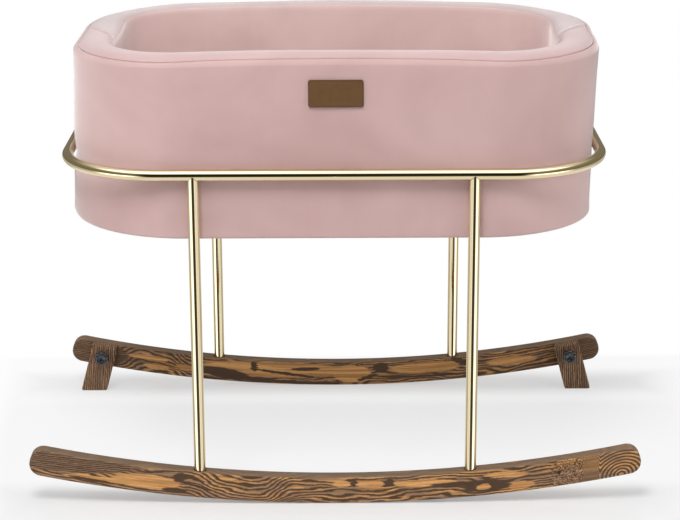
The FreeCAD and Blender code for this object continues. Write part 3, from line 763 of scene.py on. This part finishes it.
def rim_columns(side, rows):
    """Base points and ways out for columns that run from one cross seam round half the basket to the other,
    closer together near those, and how far each point is from a cross seam."""
    corner_y = side * (BASKET_HALF_WIDTH - BASKET_CORNER)
    base_x = BASKET_HALF_LENGTH - BASKET_CORNER
    end_width = RIM_WIDTH + END_WIDENING + SIDE_WIDENING
    end_first = SEAM_IN + END_SEAM_IN
    seam_y = cross_seam(end_first + (end_width * INNER_SEAM_SHARE - end_first) * rows)
    off = np.array([0, 0.4, 1, 2, 3.5, 5.5, 8, 11, 15, 20, 26, 32, 38, 45]) / 1000
    end_y = seam_y + side * off[:, None] * np.minimum(1, side * (corner_y - seam_y) / 0.05)
    rest = end_y[-1] + (corner_y - end_y[-1]) * np.linspace(0, 1, 15)[1:, None]
    end_y = np.concatenate([end_y, rest])
    each_row = np.zeros((1, RIM_ROWS, 1))
    left = np.stack([np.full(end_y.shape, -base_x), end_y], -1)
    left_out = np.broadcast_to([-1, 0], left.shape)
    quarter = np.linspace(0, math.pi / 2, 31)[1:]
    corner = np.broadcast_to([-base_x, corner_y], (30, RIM_ROWS, 2))
    corner_out = np.stack([-np.cos(quarter), side * np.sin(quarter)], -1)[:, None] + each_row
    line = np.linspace(-base_x, base_x, 65)[1:-1]
    straight = np.stack([line, np.full(63, corner_y)], -1)[:, None] + each_row
    straight_out = np.broadcast_to([0, float(side)], straight.shape)
    flip = np.array([-1, 1])
    base, out = (np.concatenate([end, bend, run, (bend * flip)[::-1], (end * flip)[::-1]])
                 for end, bend, run in ((left, corner, straight), (left_out, corner_out, straight_out)))
    from_seam = np.abs(end_y - seam_y)
    far_off = np.ones((len(base) - 2 * len(from_seam), RIM_ROWS))
    return base, out, np.concatenate([from_seam, far_off, from_seam[::-1]])


def half_rim(side):
    """The strip between the outer and the inner seam. By each seam the surface sinks along its own way out
    by a quarter round, and by a cross seam by a wide bell and uneven sine waves too."""
    rows = np.linspace(0, 1, RIM_ROWS)
    rows = rows - np.sin(2 * math.pi * rows) / (2 * math.pi) * 0.8
    base, out, from_seam = rim_columns(side, rows)
    width = rim_width(base, out)
    first = seam_inset(base, out)
    inset = first + (width * INNER_SEAM_SHARE - first) * rows
    over = rim_height(inset, width, end_share(base, out))
    run = section_run(inset, over)
    sink = seam_roll(from_seam, CROSS_DIP, CROSS_ROLL)
    sink = sink + CROSS_HOLLOW * np.exp(-(from_seam / CROSS_HOLLOW_REACH) ** 2)
    waves = np.sin(rows * 61 + 1.7 * np.sin(rows * 23)) * np.sin(math.pi * rows)
    sink = sink + PUCKER * np.exp(-(from_seam / PUCKER_REACH) ** 2) * waves
    sink = sink + seam_roll(run, SEAM_DIP) + seam_roll(run[:, -1:] - run, SEAM_DIP / 3)
    inset, over = sunk(inset, over, sink)
    points = reached(base, out, BASKET_CORNER - inset, WALL_TOP + over)
    points[..., 2] -= camber(points[..., 0])
    points[..., 2] += unevenness(points, (24, 24, 30), RIM_UNEVEN, 8) * np.sin(math.pi * rows)
    return [fuller_ends(points, end_share(base, out))]


rim_velvet = pile_velvet("velvet_rim", (0.512, 0.335, 0.325), (0.677, 0.478, 0.468), 0.9, seam_highlight=True)
# The rear length's velvet is a paler, greyer copy of the front's: painted sheen for its nap, which lies the other way.
sheen_painted_velvet = pile_velvet("velvet_pale", (0.512, 0.4, 0.387), (0.677, 0.54, 0.528), 0.88, seam_highlight=True)
for rim, slot, nodes in (
        (piece("rim_front", half_rim(-1), rim_velvet), "velvet", ("rim_cover_front", "rim_padding")),
        (piece("rim_rear", half_rim(1), sheen_painted_velvet), "velvet_pale", ("rim_cover_rear",))):
    thickened(rim)
    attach(rim, "root")
    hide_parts(*nodes)


# Lining: the same velvet, plain and close to the shell.
# It hangs from the rim's inner seam and ends below the mattress, at the board.

LINING_FLOOR = 0.4475
LINING_INSET = 0.05
LINING_FALL = 0.075
LINING_UNEVEN = 0.0012
LINING_SWELL_LOW = 0.52
LINING_SWELL_RISE = 0.12


def lining_wall():
    """From the inner seam over the rest of the rim's superellipse, then down to the board, while the inset
    goes back from the rim's width to the lining's own."""
    base, out = plan_loop(BASKET_HALF_LENGTH, BASKET_HALF_WIDTH, BASKET_CORNER, 56, 12, 26)
    width = rim_width(base, out)[:, None]
    crest = width * CREST_SHARE
    first = (width * INNER_SEAM_SHARE - crest) / (width - crest)
    turn = np.radians(np.linspace(0, 90, 12))
    inset = crest + (width - crest) * (first + (1 - first) * np.sin(turn))
    over = rim_height(inset, width, 0)
    inset, over = sunk(inset, over, seam_roll(section_run(inset, over), SEAM_DIP / 3))
    loop_x = base[:, [0]] + out[:, [0]] * (BASKET_CORNER - width)
    top = WALL_TOP - camber(loop_x)
    rest = top - (top - LINING_FLOOR) * np.linspace(0, 1, 36)[1:]
    height = np.concatenate([top + over, rest], 1)
    back = LINING_INSET + (width - LINING_INSET) * np.exp(-((top - rest) / LINING_FALL) ** 2)
    drawn = np.concatenate([inset, back], 1)
    points = reached(base[:, None], out[:, None], BASKET_CORNER - drawn, height)
    push = unevenness(points, (14, 14, 18), LINING_UNEVEN, 12) * np.clip((top - height) / WALL_FADE, 0, 1)
    points[..., :2] += out[:, None] * push[..., None]
    upper = np.clip((height - LINING_SWELL_LOW) / LINING_SWELL_RISE, 0, 1)
    return [fuller_ends(points, end_share(base, out)[:, None], upper)[::-1]]


# The lining's velvet is painted paler than the cover's: painted light on the inner wall.
paler_lining_velvet = pile_velvet("velvet_lining", (0.555, 0.384, 0.364), (0.71, 0.52, 0.498), 0.72)
lining = piece("inner_lining", lining_wall(), paler_lining_velvet)
lining.data.flip_normals()
thickened(lining)
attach(lining, "root")
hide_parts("lining")


# Base cloth: a flat sheet of black non-woven cloth over the underside of the board.
# It covers the basket cover's hem and is stapled all round.

def black_cloth():
    finish = Finish("base_cloth")
    fibres = finish.noise(900, 3, 0.7)
    bonded = finish.node("TexVoronoi", {}, {"Vector": finish.place(), "Scale": 420}, "Distance")
    colour = finish.mix(fibres, (0.02, 0.02, 0.022), (0.063, 0.063, 0.068))
    return finish.shine(Base_Color=colour, Roughness=0.85 + fibres * 0.1, Specular_IOR_Level=0.25,
                        Normal=finish.bump(bonded + fibres * 0.4, 0.0003, 0.6))


BASE_CLOTH_MARGIN = 0.01
BASE_CLOTH_LOW = 0.4331
BASE_CLOTH_HIGH = 0.4339


def plan_ring(loop, height):
    """A loop in plan, all at one height."""
    return np.column_stack([loop, np.full(len(loop), height)])


def flat_sheet():
    """A closed flat sheet: the plan loop, drawn in by the margin, shrunk towards the middle in rings, below
    and above."""
    base, out = plan_loop(BASKET_HALF_LENGTH, BASKET_HALF_WIDTH, BASKET_CORNER, 24, 8, 20)
    edge = base + out * (BASKET_CORNER - BASE_CLOTH_MARGIN)
    under, over = (np.stack([plan_ring(edge * share, height) for share in (0, 0.3, 0.6, 0.85, 0.96, 0.99, 1)])
                   for height in (BASE_CLOTH_LOW, BASE_CLOTH_HIGH))
    return [under, over, np.stack([under[-1], over[-1]])]


base_cloth = piece("base_cloth_sheet", flat_sheet(), black_cloth(), sharp=50)
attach(base_cloth, "root")
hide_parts("base_cloth")


# Mattress: a foam pad in a pale knitted and quilted cover, with a rounded edge.
# It lies loose on the board.

MATTRESS_LOW = 0.4502
MATTRESS_HIGH = 0.5002
MATTRESS_HALF_LENGTH = 0.3627
MATTRESS_HALF_WIDTH = 0.2087
MATTRESS_CORNER = 0.133
MATTRESS_SWELL = 0.006
MATTRESS_EDGE = 0.012
MATTRESS_SLACK = 0.003
MATTRESS_VOXEL = 0.008
WALE = 0.0016
COURSE = 0.0012
QUILT = 0.046
FILL_PRESSURE = 4
FILL_STEPS = 20


def knitted_cover():
    finish = Finish("mattress_cover")
    x, y, z = finish.axes()
    loops = (x / WALE * 2 * math.pi).maths("SINE") * (y / COURSE * 2 * math.pi).maths("SINE")
    rising, falling = (abs((way / QUILT * math.pi).maths("SINE")) for way in (x + y, x - y))
    quilt = rising.maths("MINIMUM", falling)
    # The quilting lines are painted darker: painted shade in their sunk creases.
    line = 1 - quilt.step(0, 0.1)
    cloud = finish.noise(9, 3, 0.6)
    colour = finish.mix(cloud, (0.555, 0.518, 0.464), (0.653, 0.616, 0.561))
    colour = finish.mix(line * 0.45, colour, (0.403, 0.366, 0.323))
    relief = finish.bump(quilt.step(0, 0.5), 0.0022, 0.7, finish.bump(loops, 0.0002, 0.4))
    return finish.shine(Base_Color=colour, Roughness=0.85 + loops * 0.04, Sheen_Weight=0.15, Normal=relief)


def pad_shape():
    """The plan loop in rings from the middle of the top to that of the bottom, drawn in at both edges by a
    quarter round. The pad is smaller all round than the filled mattress, by the swell and the slack."""
    base, out = plan_loop(MATTRESS_HALF_LENGTH, MATTRESS_HALF_WIDTH, MATTRESS_CORNER, 40, 10, 20)
    corner = MATTRESS_CORNER - MATTRESS_SWELL
    rows = [(share, MATTRESS_EDGE, 0) for share in (0, 0.25, 0.5, 0.75, 0.9)]
    rows += [(1, MATTRESS_EDGE * (1 - math.sin(turn)), MATTRESS_EDGE * (1 - math.cos(turn)))
             for turn in np.radians(np.linspace(0, 90, 6))]
    upper = [(share, inset, MATTRESS_HIGH - MATTRESS_SLACK - drop) for share, inset, drop in rows]
    lower = [(share, inset, MATTRESS_LOW + MATTRESS_SLACK + drop) for share, inset, drop in rows[::-1]]
    return [np.stack([plan_ring((base + out * (corner - inset)) * share, height)
                      for share, inset, height in upper + lower])]


def mesh_points(mesh):
    """A mesh's points as an array of rows."""
    points = np.empty(len(mesh.vertices) * 3)
    mesh.vertices.foreach_get("co", points)
    return points.reshape(-1, 3)


def stuffed(made):
    """The pad filled: remeshed evenly, then blown up as cloth with gravity off. No point moves further
    than the swell, and none goes below the board."""
    even = made.modifiers.new("even", "REMESH")
    even.mode = "VOXEL"
    even.voxel_size = MATTRESS_VOXEL
    even.use_smooth_shade = True
    made.data = applied(made)
    made.modifiers.clear()
    start = mesh_points(made.data)
    fill = made.modifiers.new("fill", "CLOTH")
    fill.settings.use_pressure = True
    fill.settings.uniform_pressure_force = FILL_PRESSURE
    fill.settings.quality = 5
    fill.settings.effector_weights.gravity = 0
    scene = bpy.context.scene
    for step in range(1, FILL_STEPS + 1):
        scene.frame_set(step)
    shift = mesh_points(applied(made)) - start
    scene.frame_set(1)
    made.modifiers.clear()
    length = np.linalg.norm(shift, axis=1, keepdims=True)
    start = start + shift * np.minimum(1, MATTRESS_SWELL / np.maximum(length, 1e-9))
    start[:, 2] = np.maximum(start[:, 2], MATTRESS_LOW)
    made.data.vertices.foreach_set("co", start.ravel())
    made.data.update()
    smoother = made.modifiers.new("smooth", "SUBSURF")
    smoother.levels = 1
    smoother.render_levels = 1
    return made


mattress = stuffed(piece("mattress_pad", pad_shape(), knitted_cover()))
mattress.data.materials.clear()
mattress.data.materials.append(bpy.data.materials["mattress_cover"])
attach(mattress, "root")
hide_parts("mattress")


# Patch: a small brown suede tab, cut with rounded corners and left bare.
# It is sewn flat to the front wall.

PATCH_X = 0.0037
PATCH_LENGTH = 0.084
PATCH_HEIGHT = 0.042
PATCH_MIDDLE = 0.6625
PATCH_FACE = -0.2648
PATCH_BACK = -0.2617
PATCH_CORNER = 0.0035
PATCH_EDGE = 0.0012


def suede():
    finish = Finish("patch_suede")
    x, y, z = finish.axes()
    nap = finish.noise(160, 4, 0.7)
    fine = finish.noise(2600, 2, 0.6)
    cloud = finish.noise((34, 34, 60), 3, 0.6)
    side = (abs(x - PATCH_X) - PATCH_LENGTH / 2).maths("MAXIMUM", abs(z - PATCH_MIDDLE) - PATCH_HEIGHT / 2)
    edge = side.step(-0.0028, -0.0004)
    colour = finish.mix(nap * 0.6 + cloud * 0.4, (0.082, 0.04, 0.015), (0.19, 0.098, 0.038))
    colour = finish.mix(edge * 0.6, colour, (0.049, 0.026, 0.012))
    return finish.shine(Base_Color=colour, Roughness=0.82 + (nap - 0.5) * 0.2, Specular_IOR_Level=0.25,
                        Sheen_Weight=0.15, Normal=finish.bump(nap * 0.6 + fine * 0.4, 0.0004, 0.7))


def tab():
    """A rounded oblong's rings from the back, over a rounded edge, across the face to the middle."""
    rows = [(0, PATCH_BACK)]
    rows += [(PATCH_EDGE * (1 - math.cos(turn)), PATCH_FACE + PATCH_EDGE * (1 - math.sin(turn)))
             for turn in np.radians(np.linspace(0, 90, 5))]
    base, out = plan_loop(PATCH_LENGTH / 2, PATCH_HEIGHT / 2, PATCH_CORNER, 24, 12, 8)
    rings = [plan_ring(base + out * (PATCH_CORNER - inset), y)[:, [0, 2, 1]] + (PATCH_X, 0, PATCH_MIDDLE)
             for inset, y in rows]
    middle = np.array([PATCH_X, PATCH_FACE, PATCH_MIDDLE])
    rings += [middle + (rings[len(rows) - 1] - middle) * share for share in (0.94, 0.7, 0.4, 0)]
    return [np.stack(rings)]


patch = piece("suede_patch", tab(), suede())
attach(patch, "root")
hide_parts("patch")


# Studio: a pale floor that fades to a white backdrop, and soft lamps in front, above, beside and behind.
# The polished tubes mirror a bright room and two pale cards that nothing else sees.

FOCAL = 2002.44
FRAME_WIDTH = 680
SENSOR = 36
CAMERA_PLACE = (0.011, -3.2328, 1.296)
PITCH = math.radians(16.791)
YAW = math.radians(-0.039)
ROLL = math.radians(0.226)
FLOOR_HALF = 9
FLOOR_DROP = 0.0004
CARD_LOW = -2.5
CARD_HIGH = 0.5


def pale_floor():
    """White paper. The camera sees it fade to white: a little by the rockers, more between them and by the
    rear one, and wholly at the sides, behind and far off."""
    finish = Finish("studio_floor")
    x, y, z = finish.axes()
    from_rocker = abs(abs(y) - REAR_Y).step(0.012, 0.09)
    in_front = (-y).step(0.262, 0.3)
    by_rear = y.step(0.14, 0.25)
    fade = (from_rocker * 0.38 + 0.3 + by_rear * 0.2) * (1 - in_front * 0.4)
    far = ((x * x) * 0.9 + (y - 0.1) * (y - 0.1)).maths("SQRT").step(0.44, 1.00)
    beside = abs(x).step(0.42, 0.66) * (0.97 - x.step(0, 0.2) * 0.15)
    behind = y.step(0.29, 0.44)
    for white_part in (far, beside, behind):
        fade = fade.maths("MAXIMUM", white_part)
    paper = finish.noise(35)
    seen = finish.node("LightPath", output="Is Camera Ray")
    colour = finish.mix(paper, (0.83, 0.83, 0.83), (0.866, 0.866, 0.866))
    ground = finish.node("BsdfPrincipled", {}, {"Base Color": colour, "Roughness": 0.9, "Specular IOR Level": 0.1})
    white = finish.node("Emission", {}, {"Color": (1, 1, 1), "Strength": 1})
    finish.end(finish.node("MixShader", {}, {0: fade * seen, 1: ground, 2: white}))
    return finish.material


corners = np.linspace(-FLOOR_HALF, FLOOR_HALF, 3)
floor_x, floor_y = np.meshgrid(corners, corners, indexing="ij")
floor = piece("studio_floor", [np.stack([floor_x, floor_y, 0 * floor_x - FLOOR_DROP], -1)], pale_floor(), smooth=False)
floor.visible_glossy = False


def stand(made, side, up, back, place):
    """Puts a lamp or camera in the scene, turned to its three ways."""
    turned = np.vstack([np.column_stack([side, up, back, place]), [0, 0, 0, 1]])
    made.matrix_world = Matrix(turned.tolist())
    bpy.context.scene.collection.objects.link(made)


def soft_lamp(name, place, width, height, power, aim=(0, 0, 0.5)):
    """A rectangular lamp that looks at the aim point and shows in no mirror."""
    lamp = bpy.data.lights.new(name, "AREA")
    lamp.shape = "RECTANGLE"
    lamp.size = width
    lamp.size_y = height
    lamp.energy = power
    made = bpy.data.objects.new(name, lamp)
    made.visible_glossy = False
    back = np.subtract(place, aim)
    back /= np.linalg.norm(back)
    side = np.cross((0, 1, 0.001), back)
    side /= np.linalg.norm(side)
    stand(made, side, np.cross(back, side), back, place)


soft_lamp("overhead_lamp", (-0.1, -0.1, 2.8), 1.8, 1.4, 5.5, aim=(0, 0, 0.4))
soft_lamp("rear_lamp", (0.6, 2.3, 2), 1.2, 1.2, 12)
soft_lamp("front_lamp", (-0.45, -1.75, 2.95), 1.1, 1.1, 57)
soft_lamp("left_lamp", (-2.7, -0.9, 1.3), 1.2, 2, 24)
soft_lamp("right_lamp", (2.7, -0.9, 1.3), 1.2, 2, 27)


def cream_card(name, near, far):
    """A pale card between two legs, seen by the polished tubes only: their inner sides mirror it."""
    finish = Finish(name)
    finish.end(finish.node("Emission", {}, {"Color": (1, 1, 1), "Strength": 0.92}))
    card_y, card_z = np.meshgrid([near, far], [CARD_LOW, CARD_HIGH], indexing="ij")
    card = piece(name, [np.stack([0 * card_y, card_y, card_z], -1)], finish.material, smooth=False)
    for unseen in ("visible_camera", "visible_diffuse", "visible_shadow", "visible_transmission"):
        setattr(card, unseen, False)


cream_card("front_card", -0.58, -0.34)
cream_card("rear_card", -0.05, 0.2)


def studio_world():
    """White to the camera. Polished metal sees bright walls and ceiling, a dark gap in front, a pale floor
    and a dimmer room behind."""
    finish = Finish("studio", bpy.data.worlds.new("studio"))
    bpy.context.scene.world = finish.material
    x, y, z = finish.axes(finish.node("TexCoord", output="Generated"))
    level = (x * x + y * y).maths("SQRT")
    ahead = -y / level
    ceiling = z.step(0.52, 0.78) * (2 - (-ahead).step(-0.1, 0.3) * 1.6)
    floor_glow = z.step(-0.36, -0.52) * 0.86
    front_gap = ahead.step(0.78, 0.96)
    sides = (1 - front_gap) * (2.1 - ahead.step(0.45, 0.05) * 1.6)
    below = z.step(-0.08, -0.17) * (1 - z.step(-0.36, -0.52)) * sides
    haze = 0.015 + z.step(0.38, 0.6) * 0.2 + z.step(0.06, -0.1) * 0.03 + (1 - front_gap) * z.step(-0.2, 0.1) * 0.2
    mirrored = (ceiling + floor_glow + below + haze).maths("MINIMUM", 2.1)
    warmth = mirrored.maths("MINIMUM", 1)
    tinted = finish.node("CombineColor", {}, {0: mirrored, 1: mirrored * (0.9 + warmth * 0.1),
                                              2: mirrored * (0.62 + warmth * 0.38)})
    camera_ray = finish.node("LightPath", output="Is Camera Ray")
    glossy_ray = finish.node("LightPath", output="Is Glossy Ray")
    colour = finish.mix(glossy_ray, (0.265, 0.265, 0.272), tinted)
    colour = finish.mix(camera_ray, colour, (1, 1, 1))
    finish.end(finish.node("Background", {}, {"Color": colour, "Strength": 1}), "World")


studio_world()

forward = np.array([math.sin(YAW) * math.cos(PITCH), math.cos(YAW) * math.cos(PITCH), -math.sin(PITCH)])
level = np.array([math.cos(YAW), -math.sin(YAW), 0])
down = np.cross(forward, level)
right = math.cos(ROLL) * level + math.sin(ROLL) * down
lower = -math.sin(ROLL) * level + math.cos(ROLL) * down
lens = bpy.data.cameras.new("studio_camera")
lens.sensor_width = SENSOR
lens.lens = FOCAL * SENSOR / FRAME_WIDTH
camera = bpy.data.objects.new("studio_camera", lens)
stand(camera, right, -lower, -forward, CAMERA_PLACE)
bpy.context.scene.camera = camera
bpy.context.scene.view_settings.view_transform = "Standard"
